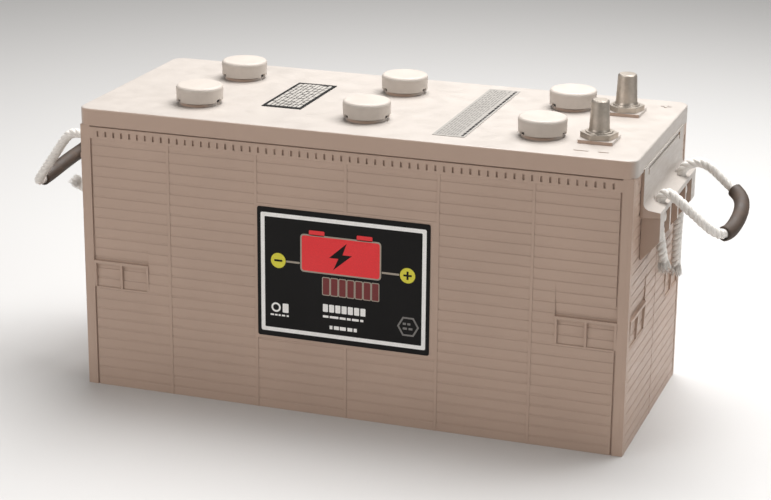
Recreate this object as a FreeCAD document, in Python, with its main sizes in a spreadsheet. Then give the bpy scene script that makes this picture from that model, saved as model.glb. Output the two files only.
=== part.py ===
"""A sealed gel deep cycle battery of the 4D size: six 2 V cells in a ribbed plastic container.

Origin at the centre of the footprint, on the floor. +X points to the terminal end, -Y to the
labelled long side and +Z up. Millimetres.
"""
import FreeCAD, Part
import math
import os
import re
import Sketcher
from FreeCAD import Placement, Rotation, Vector

doc = FreeCAD.newDocument("deep_cycle_battery")
sheet = doc.addObject("Spreadsheet::Sheet", "dims")

DIMENSIONS = {
    # container
    "case_length": 524, "case_width": 219, "seam_height": 256, "case_corner": 5,
    "slat_inset": 0.3, "groove_deep": 0.35, "groove_tall": 2, "groove_first": 7,
    "groove_pitch": 10, "groove_count": 24, "detail_root": 3, "post_line": 1.6,
    "post_line_deep": 1.2,
    "wall_rib": 2.6, "wall_rib_pitch": 87, "corner_long": 10, "corner_wide": 6.5,
    "cell_length": 169, "cell_width": 103, "partition": 3, "floor_thick": 5,
    "label_pad_half": 88, "label_pad_low": 69, "label_pad_high": 199,
    # the band of slots under the cover's seam
    "band_low": 243.5, "slot_low": 245.8, "slot_high": 250.8, "slot_deep": 1.2,
    "slot_width": 1.9, "slot_pitch": 8, "slot_count_long": 62, "slot_count_wide": 24,
    "seam_line": 1.6, "seam_line_deep": 1.8,
    # hold-down notches near each corner
    "ledge_top": 125, "ledge_thick": 3, "scoop_top": 156, "scoop_deep": 1.6, "window_deep": 1.5,
    "ledge_inner": 196, "ledge_outer": 252, "ledge_inner_end": 42, "ledge_outer_end": 102,
    "gusset_low": 99, "gusset_wide": 2.2, "ledge_proud": 0.9,
    # cover
    "cover_length": 527, "cover_width": 222, "cover_top": 272, "cover_skin": 4,
    "cover_corner": 11, "cover_edge": 1.6,
    # vents
    "vent_long": 165, "vent_wide": 54, "boss_radius": 19, "boss_rise": 2.5,
    "well_radius": 16.5, "well_bore": 13.25, "well_low": 252, "notch_reach": 15.9,
    "notch_width": 7, "plug_radius": 12.9, "gasket_radius": 17.2, "gasket_thick": 0.8,
    "cap_radius": 22, "cap_rise": 18, "cap_wall": 2, "cap_roof": 2.5, "cap_lift": 0.9,
    "cap_draft": 0.4, "cap_notch": 3.2, "cap_notch_tall": 2.6, "cap_edge": 1.4,
    "flange_radius": 18, "flange_thick": 2.2, "seat_gap": 0.05, "ring_radius": 16,
    "bore_radius": 9, "bore_depth": 10, "bore_floor": 2, "plug_drop": 4.5, "plug_skirt": 10,
    "lug_drop": 3.6, "lug_tall": 3.2, "lug_side_play": 0.5, "lug_end_play": 0.4,
    "gasket_play": 0.6, "nipple_radius": 4, "nipple_bore": 2, "nipple_rise": 8,
    "valve_radius": 6, "valve_play": 0.05, "valve_lift": 1, "valve_roof": 2, "valve_round": 0.8,
    "disc_thick": 2.4,
    # terminals
    "terminal_long": 216, "terminal_wide": 52, "pad_side": 32, "pad_rise": 3,
    "collar_across": 29, "collar_rise": 6, "collar_waist": 12, "collar_shoulder": 13.8,
    "nut_rise": 4.7, "sleeve_radius": 13, "sleeve_depth": 6, "barb_rise": 3, "barb_reach": 2,
    "stem_radius": 8, "terminal_rise": 28, "post_flare": 1.9, "fillet_flare": 1.2,
    "fillet_rise": 2, "positive_tip": 8.75, "negative_tip": 7.95, "tip_round": 1.2,
    "seal_radius": 2,
    # rope brackets at both ends
    "bracket_half": 82, "bracket_reach": 279, "bracket_skin": 264.6, "ledge_high": 222,
    "ledge_low": 214, "ledge_fall": 3.5, "ledge_fillet": 7, "lip_half": 77,
    "bracket_foot": 174, "gusset_outer": 192, "web_thick": 2.5, "box_outer": 76,
    "box_inner": 59.5, "web_inner": 31, "web_wide": 5, "foot_reach": 1.5,
    "skirt_line_low": 253, "skirt_line_deep": 1.6, "skirt_line_half": 66,
    "skirt_notch_low": 248.5, "skirt_notch_wide": 3, "rope_hole": 5.3, "rope_hole_long": 271,
    "rope_hole_wide": 45, "rope_radius": 4.75, "grip_radius": 6.9, "grip_play": 0.15,
    "pivot_height": 226.2, "knot_radius": 6.9, "knot_height": 206.5, "stub_top": 220.7,
    # cell elements
    "plate_half": 80, "plate_top": 222, "plate_pitch": 4.9, "positive_thick": 3,
    "negative_thick": 2.2, "separator_thick": 1, "separator_rise": 2, "lug_half": 8,
    "strap_offset": 43, "strap_half": 11, "strap_low": 230, "strap_top": 240, "strap_gap": 1.5,
    "riser_top": 252, "riser_thick": 4, "riser_half": 12, "gel_top": 226, "gel_gap": 0.3,
    "link_height": 245, "link_radius": 6,
    # labels
    "label_thick": 0.5, "label_corner": 2,
    "front_left": -85.5, "front_long": 166, "front_low": 72, "front_tall": 124,
    "rating_left": -107, "rating_front": -45, "rating_long": 39, "rating_wide": 97,
    "guide_left": 73, "guide_front": -87, "guide_long": 30, "guide_wide": 181,
}
for row, (word, number) in enumerate(DIMENSIONS.items(), 1):
    sheet.set(f"A{row}", word)
    sheet.set(f"B{row}", str(number))
    sheet.setAlias(f"B{row}", word)
doc.recompute()


def linked(text):
    """The text as an expression that reads the sheet."""
    return re.sub(r"[a-z]+_[a-z_]+|partition", lambda found: "dims." + found[0], str(text))


def size(text):
    """The number that an expression of sheet words gives now."""
    value = sheet.evalExpression(linked(text))
    return float(getattr(value, "Value", value))


def place(where):
    """A placement at three expressions of sheet words."""
    return Placement(Vector(*(size(part) for part in where)), Rotation())


# --- sketches and features -------------------------------------------------------------------


def new_body(label):
    body = doc.addObject("PartDesign::Body", label)
    body.Label = label
    return body


def origin_part(body, role):
    return next(part for part in body.Origin.OriginFeatures if part.Role == role)


def new_sketch(body, plane, offset="0"):
    """A sketch on one of the body's own planes, moved along that plane's normal."""
    sketch = body.newObject("Sketcher::SketchObject", "outline")
    sketch.AttachmentSupport = [(origin_part(body, plane), "")]
    sketch.MapMode = "FlatFace"
    sketch.setExpression("AttachmentOffset.Base.z", linked(offset))
    return sketch


def bind(sketch, kind, where, text):
    """A dimension from the sketch's origin, or a radius, bound to the sheet."""
    number = sketch.addConstraint(Sketcher.Constraint(kind, *where, size(text)))
    sketch.setExpression(f"Constraints[{number}]", linked(text))


def polygon(sketch, corners):
    """A closed outline through corners that are pairs of expressions."""
    points = [Vector(size(across), size(along), 0) for across, along in corners]
    ends = points[1:] + points[:1]
    first = sketch.GeometryCount
    sketch.addGeometry([Part.LineSegment(a, b) for a, b in zip(points, ends)], False)
    for step, (across, along) in enumerate(corners):
        line = first + step
        after = first + (step + 1) % len(corners)
        sketch.addConstraint(Sketcher.Constraint("Coincident", line, 2, after, 1))
        bind(sketch, "DistanceX", (-1, 1, line, 1), across)
        bind(sketch, "DistanceY", (-1, 1, line, 1), along)


def rectangle(sketch, left, low, right, high):
    polygon(sketch, [(left, low), (right, low), (right, high), (left, high)])


def centred(sketch, length, width):
    half, side = f"({length}) / 2", f"({width}) / 2"
    rectangle(sketch, f"-{half}", f"-{side}", half, side)


def circle(sketch, across, along, radius):
    centre = Vector(size(across), size(along), 0)
    number = sketch.addGeometry(Part.Circle(centre, Vector(0, 0, 1), size(radius)), False)
    bind(sketch, "Radius", (number,), radius)
    bind(sketch, "DistanceX", (-1, 1, number, 3), across)
    bind(sketch, "DistanceY", (-1, 1, number, 3), along)


def solid_feature(kind, body, sketch, length, backwards=False):
    feature = body.newObject(f"PartDesign::{kind}", kind.lower())
    feature.Profile = sketch
    feature.setExpression("Length", linked(length))
    feature.Reversed = backwards
    feature.Refine = False
    return feature


def pad(body, sketch, length, backwards=False):
    return solid_feature("Pad", body, sketch, length, backwards)


def pocket(body, sketch, length, backwards=False):
    """A cut along the sketch's normal: a plain pocket goes against it."""
    before = volume_so_far(body)
    feature = solid_feature("Pocket", body, sketch, length, backwards)
    if not volume_so_far(body) < before:
        raise RuntimeError(f"a pocket in {body.Label} cuts nothing")
    return feature


def volume_so_far(body):
    doc.recompute()
    return body.Shape.Volume


def turned(body, corners):
    """A solid of revolution about Z through corners that are pairs of radius and height."""
    sketch = new_sketch(body, "XZ_Plane")
    polygon(sketch, corners)
    feature = body.newObject("PartDesign::Revolution", "revolution")
    feature.Profile = sketch
    feature.ReferenceAxis = (sketch, ["V_Axis"])
    feature.Angle = 360
    return feature


def repeat(body, features, axis, span, count):
    """The features again, evenly spaced over a span along one of the body's axes."""
    feature = body.newObject("PartDesign::LinearPattern", "pattern")
    feature.Originals = features
    feature.Direction = (origin_part(body, axis), [""])
    feature.setExpression("Length", linked(span))
    feature.setExpression("Occurrences", linked(count))
    feature.Refine = False
    body.Tip = feature
    return feature


def mirror(body, features, plane):
    feature = body.newObject("PartDesign::Mirrored", "mirrored")
    feature.Originals = features
    feature.MirrorPlane = (origin_part(body, plane), [""])
    feature.Refine = False
    body.Tip = feature
    return feature


def round_edges(body, radius, wanted):
    """A fillet on those edges of the body's tip for which wanted(edge) is true."""
    doc.recompute()
    tip = body.Tip
    names = [f"Edge{n}" for n, edge in enumerate(tip.Shape.Edges, 1) if wanted(edge)]
    feature = body.newObject("PartDesign::Fillet", "fillet")
    feature.Base = (tip, names)
    feature.setExpression("Radius", linked(radius))
    body.Tip = feature
    return feature


def is_upright(edge):
    return abs(edge.tangentAt(edge.FirstParameter).z) > 0.99


def plain(label, shape):
    """A piece whose shape is made directly."""
    feature = doc.addObject("Part::Feature", label)
    feature.Label = label
    feature.Shape = shape
    return feature


# --- container -------------------------------------------------------------------------------


def make_container():
    """The jar: a hollow block, grooved into slats, with ribs, slots and ledges on its walls."""
    core = new_body("container_core")
    block = new_sketch(core, "XY_Plane")
    centred(block, "case_length - 2 * slat_inset", "case_width - 2 * slat_inset")
    pad(core, block, "seam_height")
    hollow_cells(core)
    grooved = doc.addObject("Part::Cut", "container_grooved")
    grooved.Base = core
    grooved.Tool = plain("wall_cuts", Part.makeCompound(wall_grooves() + wall_hollows()))
    container = doc.addObject("Part::MultiFuse", "container")
    details = wall_ribs() + seam_band() + label_fields() + hold_down_ledges()
    container.Shapes = [grooved, plain("wall_details", details[0].multiFuse(details[1:]))]
    container.Refine = True
    return container


def hollow_cells(body):
    cells = new_sketch(body, "XY_Plane", "floor_thick")
    column = "-(cell_length + partition)"
    for low in ("partition / 2", "-partition / 2 - cell_width"):
        rectangle(cells, f"{column} - cell_length / 2", low,
                  f"{column} + cell_length / 2", f"{low} + cell_width")
    repeat(body, [pocket(body, cells, "seam_height", True)], "X_Axis",
           "2 * (cell_length + partition)", "3")
    sideways = new_sketch(body, "YZ_Plane", "-(cell_length + 2 * partition) / 2")
    for row in ("", "-"):
        circle(sideways, f"{row}(cell_width + partition) / 2", "link_height", "link_radius")
    pocket(body, sideways, "cell_length + 2 * partition", True)
    crossing = new_sketch(body, "XZ_Plane", "-partition / 2")
    circle(crossing, "-(cell_length + partition + strap_offset)", "link_height", "link_radius")
    pocket(body, crossing, "partition", True)


def wall_block(turn, left, right, low, high, inner, outer):
    """A block on one outer wall: turn 0 is the front, 90 the terminal end, and so on round.

    left and right run along the wall, low and high up it, inner and outer away from the middle.
    """
    block = Part.makeBox(right - left, outer - inner, high - low, Vector(left, -outer, low))
    block.rotate(Vector(), Vector(0, 0, 1), turn)
    return block


def walls():
    """Each wall's turn, its face's distance from the middle and its own half length."""
    long, wide = size("case_length / 2"), size("case_width / 2")
    return [(0, wide, long), (180, wide, long), (90, long, wide), (270, long, wide)]


def rib_places(turn):
    """The middle of each upright rib along a wall."""
    return [step * size("wall_rib_pitch") for step in range(-2, 3)] if turn % 180 == 0 else [0]


def post_width(turn):
    return size("corner_long" if turn % 180 == 0 else "corner_wide")


def groove_heights():
    return [size("groove_first") + step * size("groove_pitch")
            for step in range(int(size("groove_count")))]


def wall_grooves():
    """The level lines between slats from rib to rib, and the deeper lines.

    They run behind the row of slots, under the cover's rim and beside the corner posts.
    """
    half_rib, tall = size("wall_rib / 2"), size("groove_tall")
    grooves = []
    for turn, face, half in walls():
        skin = face - size("slat_inset")
        ends = [-half + post_width(turn) - half_rib, *rib_places(turn),
                half - post_width(turn) + half_rib]
        grooves += [wall_block(turn, left + half_rib, right - half_rib, low, low + tall,
                               skin - size("groove_deep"), face + 1)
                    for low in groove_heights() for left, right in zip(ends, ends[1:])]
        inner, seam = half - post_width(turn), size("seam_height")
        grooves += [
            wall_block(turn, -inner, inner, size("slot_low"), size("slot_high"),
                       skin - size("slot_deep"), face + 1),
            wall_block(turn, -inner, inner, seam - size("seam_line"), seam,
                       skin - size("seam_line_deep"), face + 1)]
        grooves += [wall_block(turn, left, left + size("post_line"), 0, size("band_low"),
                               skin - size("post_line_deep"), face + 1)
                    for left in (-inner, inner - size("post_line"))]
    return grooves


def hold_down_spans(turn):
    """Where the two hold-downs of a wall start and stop along it."""
    inner, outer = ((size("ledge_inner"), size("ledge_outer")) if turn % 180 == 0
                    else (size("ledge_inner_end"), size("ledge_outer_end")))
    return [(-outer, -inner), (inner, outer)]


def wall_prism(turn, left, right, profile):
    """A block on one outer wall whose section is given as pairs of distance out and height."""
    corners = [Vector(left, -out, up) for out, up in profile]
    face = Part.Face(Part.makePolygon(corners + corners[:1]))
    prism = face.extrude(Vector(right - left, 0, 0))
    prism.rotate(Vector(), Vector(0, 0, 1), turn)
    return prism


def wall_hollows():
    """At each hold-down, the slope over the ledge for a clamp's foot and the bays under it."""
    top, high, low = size("ledge_top"), size("scoop_top"), size("gusset_low")
    deep, shelf = size("scoop_deep"), size("ledge_top - ledge_thick")
    hollows = []
    for turn, face, _ in walls():
        skin = face - size("slat_inset")
        window = skin - size("window_deep")
        slope = [(skin - deep, top), (face + 1, top), (face + 1, high), (skin, high)]
        for left, right in hold_down_spans(turn):
            hollows.append(wall_prism(turn, left, right, slope))
            hollows.append(wall_block(turn, left, right, low, shelf, window, face + 1))
            for line in groove_heights():
                over = skin - deep * (high - line) / (high - top)
                floor = over if top < line < high else window if low < line < shelf else None
                if floor:
                    hollows.append(wall_block(turn, left, right, line, line + size("groove_tall"),
                                              floor - size("groove_deep"), face + 1))
    return hollows


def hold_down_ledges():
    """Each ledge with its three webs, which taper down into the wall."""
    top, low, wide = size("ledge_top"), size("gusset_low"), size("gusset_wide")
    under = size("ledge_top - ledge_thick")
    pieces = []
    for turn, face, _ in walls():
        root = face - size("detail_root")
        skin, lip = face - size("slat_inset"), face + size("ledge_proud")
        profile = [(root, low), (skin, low), (lip, under), (root, under)]
        for left, right in hold_down_spans(turn):
            pieces.append(wall_block(turn, left, right, under, top, root, lip))
            for start in (left, (left + right - wide) / 2, right - wide):
                pieces.append(wall_prism(turn, start, start + wide, profile))
    return pieces


def wall_ribs():
    """The upright ribs between panels and the four corner posts."""
    top, half_rib = size("seam_height - seam_line"), size("wall_rib / 2")
    pieces = []
    for turn, face, half in walls():
        root = face - size("detail_root")
        pieces += [wall_block(turn, at - half_rib, at + half_rib, 0, top, root, face)
                   for at in rib_places(turn)]
        if turn % 180 == 0:
            pieces += [corner_post(turn, side, face, half) for side in (-1, 1)]
    return pieces


def corner_post(turn, side, face, half):
    wide, deep = size("corner_long"), size("corner_wide")
    left, right = sorted((side * half, side * (half - wide)))
    post = wall_block(turn, left, right, 0, size("seam_height"), face - deep, face)
    outer = [edge for edge in post.Edges if is_upright(edge)
             and math.hypot(edge.CenterOfMass.x, edge.CenterOfMass.y) > math.hypot(half, face) - 1]
    return post.makeFillet(size("case_corner"), outer)


def seam_band():
    """The smooth band below the cover's rim, with a row of small slots in it."""
    low, high, top = size("slot_low"), size("slot_high"), size("seam_height - seam_line")
    pitch, wide = size("slot_pitch"), size("slot_width")
    pieces = []
    for turn, face, half in walls():
        root, inner = face - size("detail_root"), half - post_width(turn) + 1
        pieces.append(wall_block(turn, -inner, inner, size("band_low"), low, root, face))
        pieces.append(wall_block(turn, -inner, inner, high, top, root, face))
        count = int(size("slot_count_long" if turn % 180 == 0 else "slot_count_wide"))
        first = -(count - 1) / 2 * pitch
        slots = [first + step * pitch for step in range(count)]
        edges = [-inner, *(at + side * wide / 2 for at in slots for side in (-1, 1)), inner]
        pieces += [wall_block(turn, left, right, low, high, root, face)
                   for left, right in zip(edges[::2], edges[1::2])]
    return pieces


def label_fields():
    """A flat field without grooves on both long walls."""
    face, half = size("case_width / 2"), size("label_pad_half")
    return [wall_block(turn, -half, half, size("label_pad_low"), size("label_pad_high"),
                       face - size("detail_root"), face) for turn in (0, 180)]


# --- cover -----------------------------------------------------------------------------------


def make_cover():
    body = new_body("cover")
    plate = new_sketch(body, "XY_Plane", "seam_height")
    centred(plate, "cover_length", "cover_width")
    pad(body, plate, "cover_top - seam_height")
    round_edges(body, "cover_corner", is_upright)
    round_edges(body, "cover_edge", lambda edge: min(
        vertex.Point.z for vertex in edge.Vertexes) > size("cover_top") - 0.01)
    hollow_cover(body)
    add_vent_wells(body)
    add_terminal_pads(body)
    add_brackets(body)
    return body


def hollow_cover(body):
    """The space over each cell, under the skin."""
    column = "-(cell_length + partition)"
    cells = new_sketch(body, "XY_Plane", "seam_height")
    for low in ("partition / 2", "-partition / 2 - cell_width"):
        rectangle(cells, f"{column} - cell_length / 2", low,
                  f"{column} + cell_length / 2", f"{low} + cell_width")
    depth = "cover_top - cover_skin - seam_height"
    repeat(body, [pocket(body, cells, depth, True)], "X_Axis",
           "2 * (cell_length + partition)", "3")


def over_each_vent(body, draw, offset, length, cut=False):
    """A pad or pocket upwards at the two vents of the first column, and again along X."""
    sketch = new_sketch(body, "XY_Plane", offset)
    for wide in ("vent_wide", "-vent_wide"):
        draw(sketch, "-vent_long", wide)
    make = pocket if cut else pad
    feature = make(body, sketch, length, cut)
    repeat(body, [feature], "X_Axis", "2 * vent_long", "3")


def add_vent_wells(body):
    """A low boss over each vent and a tube below it, with two slots for the plug's lugs."""
    top = "cover_top + boss_rise"
    over_each_vent(body, lambda sketch, x, y: circle(sketch, x, y, "boss_radius"),
                   "cover_top - cover_skin / 2", "boss_rise + cover_skin / 2")
    over_each_vent(body, lambda sketch, x, y: circle(sketch, x, y, "well_radius"),
                   "well_low", "cover_top - cover_skin / 2 - well_low")
    over_each_vent(body, lambda sketch, x, y: circle(sketch, x, y, "well_bore"),
                   "well_low", f"{top} - well_low", True)
    over_each_vent(body, lambda sketch, x, y: rectangle(
        sketch, f"{x} - notch_reach", f"{y} - notch_width / 2",
        f"{x} + notch_reach", f"{y} + notch_width / 2"), "well_low", f"{top} - well_low", True)


def add_terminal_pads(body):
    """A raised square under each terminal, bored for its lead bush."""
    squares = new_sketch(body, "XY_Plane", "cover_top - cover_skin / 2")
    bores = new_sketch(body, "XY_Plane", "cover_top - cover_skin")
    for wide in ("terminal_wide", "-terminal_wide"):
        rectangle(squares, "terminal_long - pad_side / 2", f"{wide} - pad_side / 2",
                  "terminal_long + pad_side / 2", f"{wide} + pad_side / 2")
        circle(bores, "terminal_long", wide, "sleeve_radius")
    pad(body, squares, "pad_rise + cover_skin / 2")
    round_edges(body, "cover_edge", lambda edge: is_upright(edge) and
                edge.BoundBox.ZMin > size("cover_top") - 0.01 and
                edge.BoundBox.ZMax > size("cover_top + pad_rise") - 0.01)
    pocket(body, bores, "pad_rise + cover_skin", True)


def add_brackets(body):
    """A skirt and a ledge at each end, with webs under the ledge and two rope holes."""
    wall = "case_length / 2"
    profile = new_sketch(body, "XZ_Plane", "-bracket_half")
    polygon(profile, [
        (wall, "ledge_low"), ("bracket_reach", "ledge_low"),
        ("bracket_reach", "ledge_high - ledge_fall"), ("bracket_skin", "ledge_high"),
        ("bracket_skin", "seam_height + 2"), (f"{wall} - 2", "seam_height + 2"),
        (f"{wall} - 2", "seam_height"), (wall, "seam_height")])
    mirror(body, [pad(body, profile, "2 * bracket_half"), trim_ledge(body)], "YZ_Plane")
    round_edges(body, "ledge_fillet", lambda edge: math.dist(
        (abs(edge.CenterOfMass.x), edge.CenterOfMass.z),
        (size("bracket_skin"), size("ledge_high"))) < 0.01)
    features = [add_webs(body, wall), add_fronts(body), trim_webs(body, wall)]
    holes = new_sketch(body, "XY_Plane", "ledge_low")
    for wide in ("rope_hole_wide", "-rope_hole_wide"):
        circle(holes, "rope_hole_long", wide, "rope_hole")
    features += [pocket(body, holes, "ledge_high - ledge_low + ledge_fillet", True),
                 cut_skirt_line(body)]
    mirror(body, features, "YZ_Plane")


def trim_ledge(body):
    """Slants the ledge's two ends, so that its lip is shorter than the skirt."""
    ends = new_sketch(body, "XY_Plane", "ledge_low")
    for side in ("", "-"):
        polygon(ends, [("bracket_skin", f"{side}bracket_half"),
                       ("bracket_reach", f"{side}lip_half"),
                       ("bracket_reach + 1", f"{side}lip_half"),
                       ("bracket_reach + 1", f"{side}(bracket_half + 1)"),
                       ("bracket_skin", f"{side}(bracket_half + 1)")])
    return pocket(body, ends, "ledge_high - ledge_low", True)


def add_webs(body, wall):
    """The upright webs from the wall to the lip."""
    webs = new_sketch(body, "XY_Plane", "bracket_foot")
    for start, thick in (
            ("-box_outer", "web_thick"), ("-box_inner - web_thick", "web_thick"),
            ("-web_inner - web_wide", "web_wide"), ("-web_wide / 2", "web_wide"),
            ("web_inner", "web_wide"), ("box_inner", "web_thick"),
            ("box_outer - web_thick", "web_thick")):
        rectangle(webs, wall, start, "bracket_reach", f"{start} + {thick}")
    return pad(body, webs, "ledge_low - bracket_foot")


def add_fronts(body):
    """The plates that close the outer pair of bays."""
    fronts = new_sketch(body, "XY_Plane", "bracket_foot")
    for low, high in (("-box_outer + web_thick", "-box_inner - web_thick"),
                      ("box_inner + web_thick", "box_outer - web_thick")):
        rectangle(fronts, "bracket_reach - web_thick", low, "bracket_reach", high)
    return pad(body, fronts, "ledge_low - bracket_foot")


def cut_skirt_line(body):
    """A level groove under the cover's rim that turns down at both ends."""
    inner = "(skirt_line_half - skirt_notch_wide)"
    line = new_sketch(body, "YZ_Plane", "bracket_skin - skirt_line_deep")
    polygon(line, [
        ("-skirt_line_half", "seam_height"), ("-skirt_line_half", "skirt_notch_low"),
        (f"-{inner}", "skirt_notch_low"), (f"-{inner}", "skirt_line_low"),
        (inner, "skirt_line_low"), (inner, "skirt_notch_low"),
        ("skirt_line_half", "skirt_notch_low"), ("skirt_line_half", "seam_height")])
    return pocket(body, line, "skirt_line_deep + 1", True)


def trim_webs(body, wall):
    """Cuts the webs' lower corners off, so that they taper into the skirt's foot."""
    foot = f"{wall} + foot_reach"
    slant = new_sketch(body, "XZ_Plane", "-bracket_half - 1")
    polygon(slant, [
        (foot, "bracket_foot - 1"), ("bracket_reach + 1", "bracket_foot - 1"),
        ("bracket_reach + 1", "gusset_outer"), ("bracket_reach", "gusset_outer"),
        (foot, "bracket_foot")])
    return pocket(body, slant, "2 * bracket_half + 2", True)


# --- vents -----------------------------------------------------------------------------------


def vent_positions():
    """The six vents, front row first, from the plain end to the terminal end."""
    return [(f"{column} * vent_long", f"{row}vent_wide", "0")
            for row in ("-", "") for column in (-1, 0, 1)]


def make_vent_cap(number, where):
    """The round cap: a shell with a seat ring that stands on the plug's flange."""
    body = new_body(f"vent_cap_{number}")
    top, low = "cover_top + cap_rise", "cover_top + boss_rise + cap_lift"
    roof = f"{top} - cap_roof"
    flange = "cover_top + boss_rise + gasket_thick + seat_gap + flange_thick"
    turned(body, [
        ("0", roof), ("ring_radius", roof), ("ring_radius", flange), ("flange_radius", flange),
        ("flange_radius", roof), ("cap_radius - cap_wall", roof), ("cap_radius - cap_wall", low),
        ("cap_radius - cap_draft", low), ("cap_radius", f"{top} - 2 * cap_edge"),
        ("cap_radius - cap_draft", f"{top} - cap_edge"),
        ("cap_radius - cap_edge", f"{top} - cap_draft"),
        ("cap_radius - 2 * cap_edge", top), ("0", top)])
    marks = new_sketch(body, "XY_Plane", low)
    for turn in (109, 229, 349):
        circle(marks, f"cap_radius * cos({turn})", f"cap_radius * sin({turn})", "cap_notch")
    pocket(body, marks, "cap_notch_tall", True)
    body.Placement = place(where)
    return body


def make_vent_body(number, where):
    """The bayonet plug: a flange, a bore with the valve's nipple, and two lugs."""
    body = new_body(f"vent_body_{number}")
    seat = "cover_top + boss_rise + gasket_thick + seat_gap"
    low, floor = "well_low - plug_drop", "cover_top - bore_depth"
    mouth, tip, under = f"{seat} + flange_thick", f"{floor} + nipple_rise", f"{floor} - bore_floor"
    turned(body, [
        ("plug_skirt", low), ("plug_radius", low), ("plug_radius", seat),
        ("flange_radius", seat), ("flange_radius", mouth), ("bore_radius", mouth),
        ("bore_radius", floor), ("nipple_radius", floor), ("nipple_radius", tip),
        ("nipple_bore", tip), ("nipple_bore", under), ("plug_skirt", under)])
    lugs = new_sketch(body, "XY_Plane", "well_low - lug_drop")
    half = "(notch_width / 2 - lug_side_play)"
    for side in ("", "-"):
        rectangle(lugs, f"-{half}", f"{side}(plug_radius - 1)",
                  half, f"{side}(notch_reach - lug_end_play)")
    pad(body, lugs, "lug_tall")
    body.Placement = place(where)
    return body


def make_relief_valve(number, where):
    """The rubber sleeve valve that stretches over the nipple."""
    body = new_body(f"relief_valve_{number}")
    low = "cover_top - bore_depth + valve_lift"
    inside, tip = "nipple_radius + valve_play", "cover_top - bore_depth + nipple_rise"
    top = f"{tip} + valve_roof"
    turned(body, [
        (inside, low), ("valve_radius", low), ("valve_radius", f"{top} - valve_round"),
        ("valve_radius - valve_round", top), ("0", top), ("0", tip), (inside, tip)])
    body.Placement = place(where)
    return body


def make_flame_arrestor(number, where):
    """A porous disc in the mouth of the plug."""
    disc = doc.addObject("Part::Cylinder", f"flame_arrestor_{number}")
    disc.Label = disc.Name
    disc.setExpression("Radius", linked("bore_radius - valve_play"))
    disc.setExpression("Height", linked("disc_thick"))
    long, wide, _ = where
    disc.Placement = place((long, wide, "cover_top + boss_rise"))
    return disc


def make_gaskets():
    """The six flat rubber washers under the plugs' flanges."""
    rings = []
    thick = size("gasket_thick")
    for long, wide, _ in vent_positions():
        base = place((long, wide, "cover_top + boss_rise")).Base
        disc = Part.makeCylinder(size("gasket_radius"), thick, base)
        rings.append(disc.cut(Part.makeCylinder(size("well_bore + gasket_play"), thick, base)))
    return plain("vent_gaskets", Part.makeCompound(rings))


# --- terminals -------------------------------------------------------------------------------


def make_terminal(polarity, side):
    """A tapered lead post, its hexagonal bush in the cover and the seal under the bush."""
    where = ("terminal_long", f"{side}terminal_wide", "0")
    foot = "cover_top + pad_rise + collar_rise"
    post = make_post(polarity, foot)
    bush = make_bush(polarity, foot)
    seal = doc.addObject("Part::Torus", f"{polarity}_post_seal")
    seal.Label = seal.Name
    seal.setExpression("Radius1", linked("stem_radius + seal_radius"))
    seal.setExpression("Radius2", linked("seal_radius"))
    post.Placement = bush.Placement = place(where)
    under = "cover_top - cover_skin - sleeve_depth - seal_radius"
    seal.Placement = place((*where[:2], under))
    return [post, bush, seal]


def make_post(polarity, foot):
    post = new_body(f"{polarity}_terminal_post")
    tip, top = f"{polarity}_tip", f"{foot} + terminal_rise"
    turned(post, [
        ("0", "strap_top"), ("stem_radius", "strap_top"), ("stem_radius", foot),
        (f"{tip} + post_flare", foot), (f"{tip} + fillet_flare", f"{foot} + fillet_rise"),
        (tip, f"{top} - tip_round"), (f"{tip} - tip_round", top), ("0", top)])
    return post


def make_bush(polarity, foot):
    bush = new_body(f"{polarity}_terminal_collar")
    under, base = "cover_top - cover_skin", "cover_top + pad_rise"
    turned(bush, [
        ("stem_radius", f"{under} - sleeve_depth"), ("sleeve_radius", f"{under} - sleeve_depth"),
        ("sleeve_radius", f"{under} - barb_rise"),
        ("sleeve_radius + barb_reach", f"{under} - barb_rise"),
        ("sleeve_radius + barb_reach", under), ("sleeve_radius", under), ("sleeve_radius", base),
        ("collar_shoulder", base), ("collar_waist", foot), ("stem_radius", foot)])
    corners = [(f"collar_across / 2 * cos({turn}) / cos(30)",
                f"collar_across / 2 * sin({turn}) / cos(30)") for turn in range(15, 375, 60)]
    nut = new_sketch(bush, "XY_Plane", base)
    polygon(nut, corners)
    circle(nut, "0", "0", "stem_radius")
    pad(bush, nut, "nut_rise")
    return bush


# --- rope handles ----------------------------------------------------------------------------

# Outward, sideways and upward places along each rope, from hole to hole. Outward counts from the
# holes' centre line.
RIGHT_ROUTE = [
    (0, -45, 226.2), (9, -45.3, 227.2), (17, -45.8, 222.3), (25, -46.2, 216.6),
    (33, -46.2, 210.3), (41, -45.5, 203.4), (48.5, -43, 196.8), (55, -36.5, 192.6),
    (59.5, -26, 192.4), (62, -13.5, 194.9), (63.5, 0, 198.9), (63.3, 13.5, 203),
    (61, 26, 206.3), (56.5, 36.5, 208.6), (50, 43, 212), (42, 45.5, 217.6), (34, 46.3, 224.3),
    (26, 46.6, 230.6), (17, 46.4, 233.6), (8.5, 45.8, 230.5), (0, 45, 226.2),
]
LEFT_ROUTE = [
    (0, -45, 226.2), (11, -45.2, 227.6), (22, -45.8, 228.2), (34, -46.3, 227.8),
    (42, -46.5, 218.4), (49.5, -46.5, 207), (57.2, -46.5, 196.4), (65, -46, 185.6),
    (72.5, -43, 175.6), (75.3, -33, 172.6), (74.8, -20, 173.6), (73.8, -6, 175.8),
    (73.2, 8, 177.8), (72.8, 22, 179.6), (71.5, 35, 181.6), (66.5, 43.5, 185.6),
    (59, 46.5, 192.6), (50, 47, 200.8), (41, 47.2, 209), (32.5, 47, 216.2),
    (24.5, 46.7, 221.8), (16.5, 46.2, 225.8), (8.2, 45.6, 227.6), (0, 45, 226.2),
]
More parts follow.
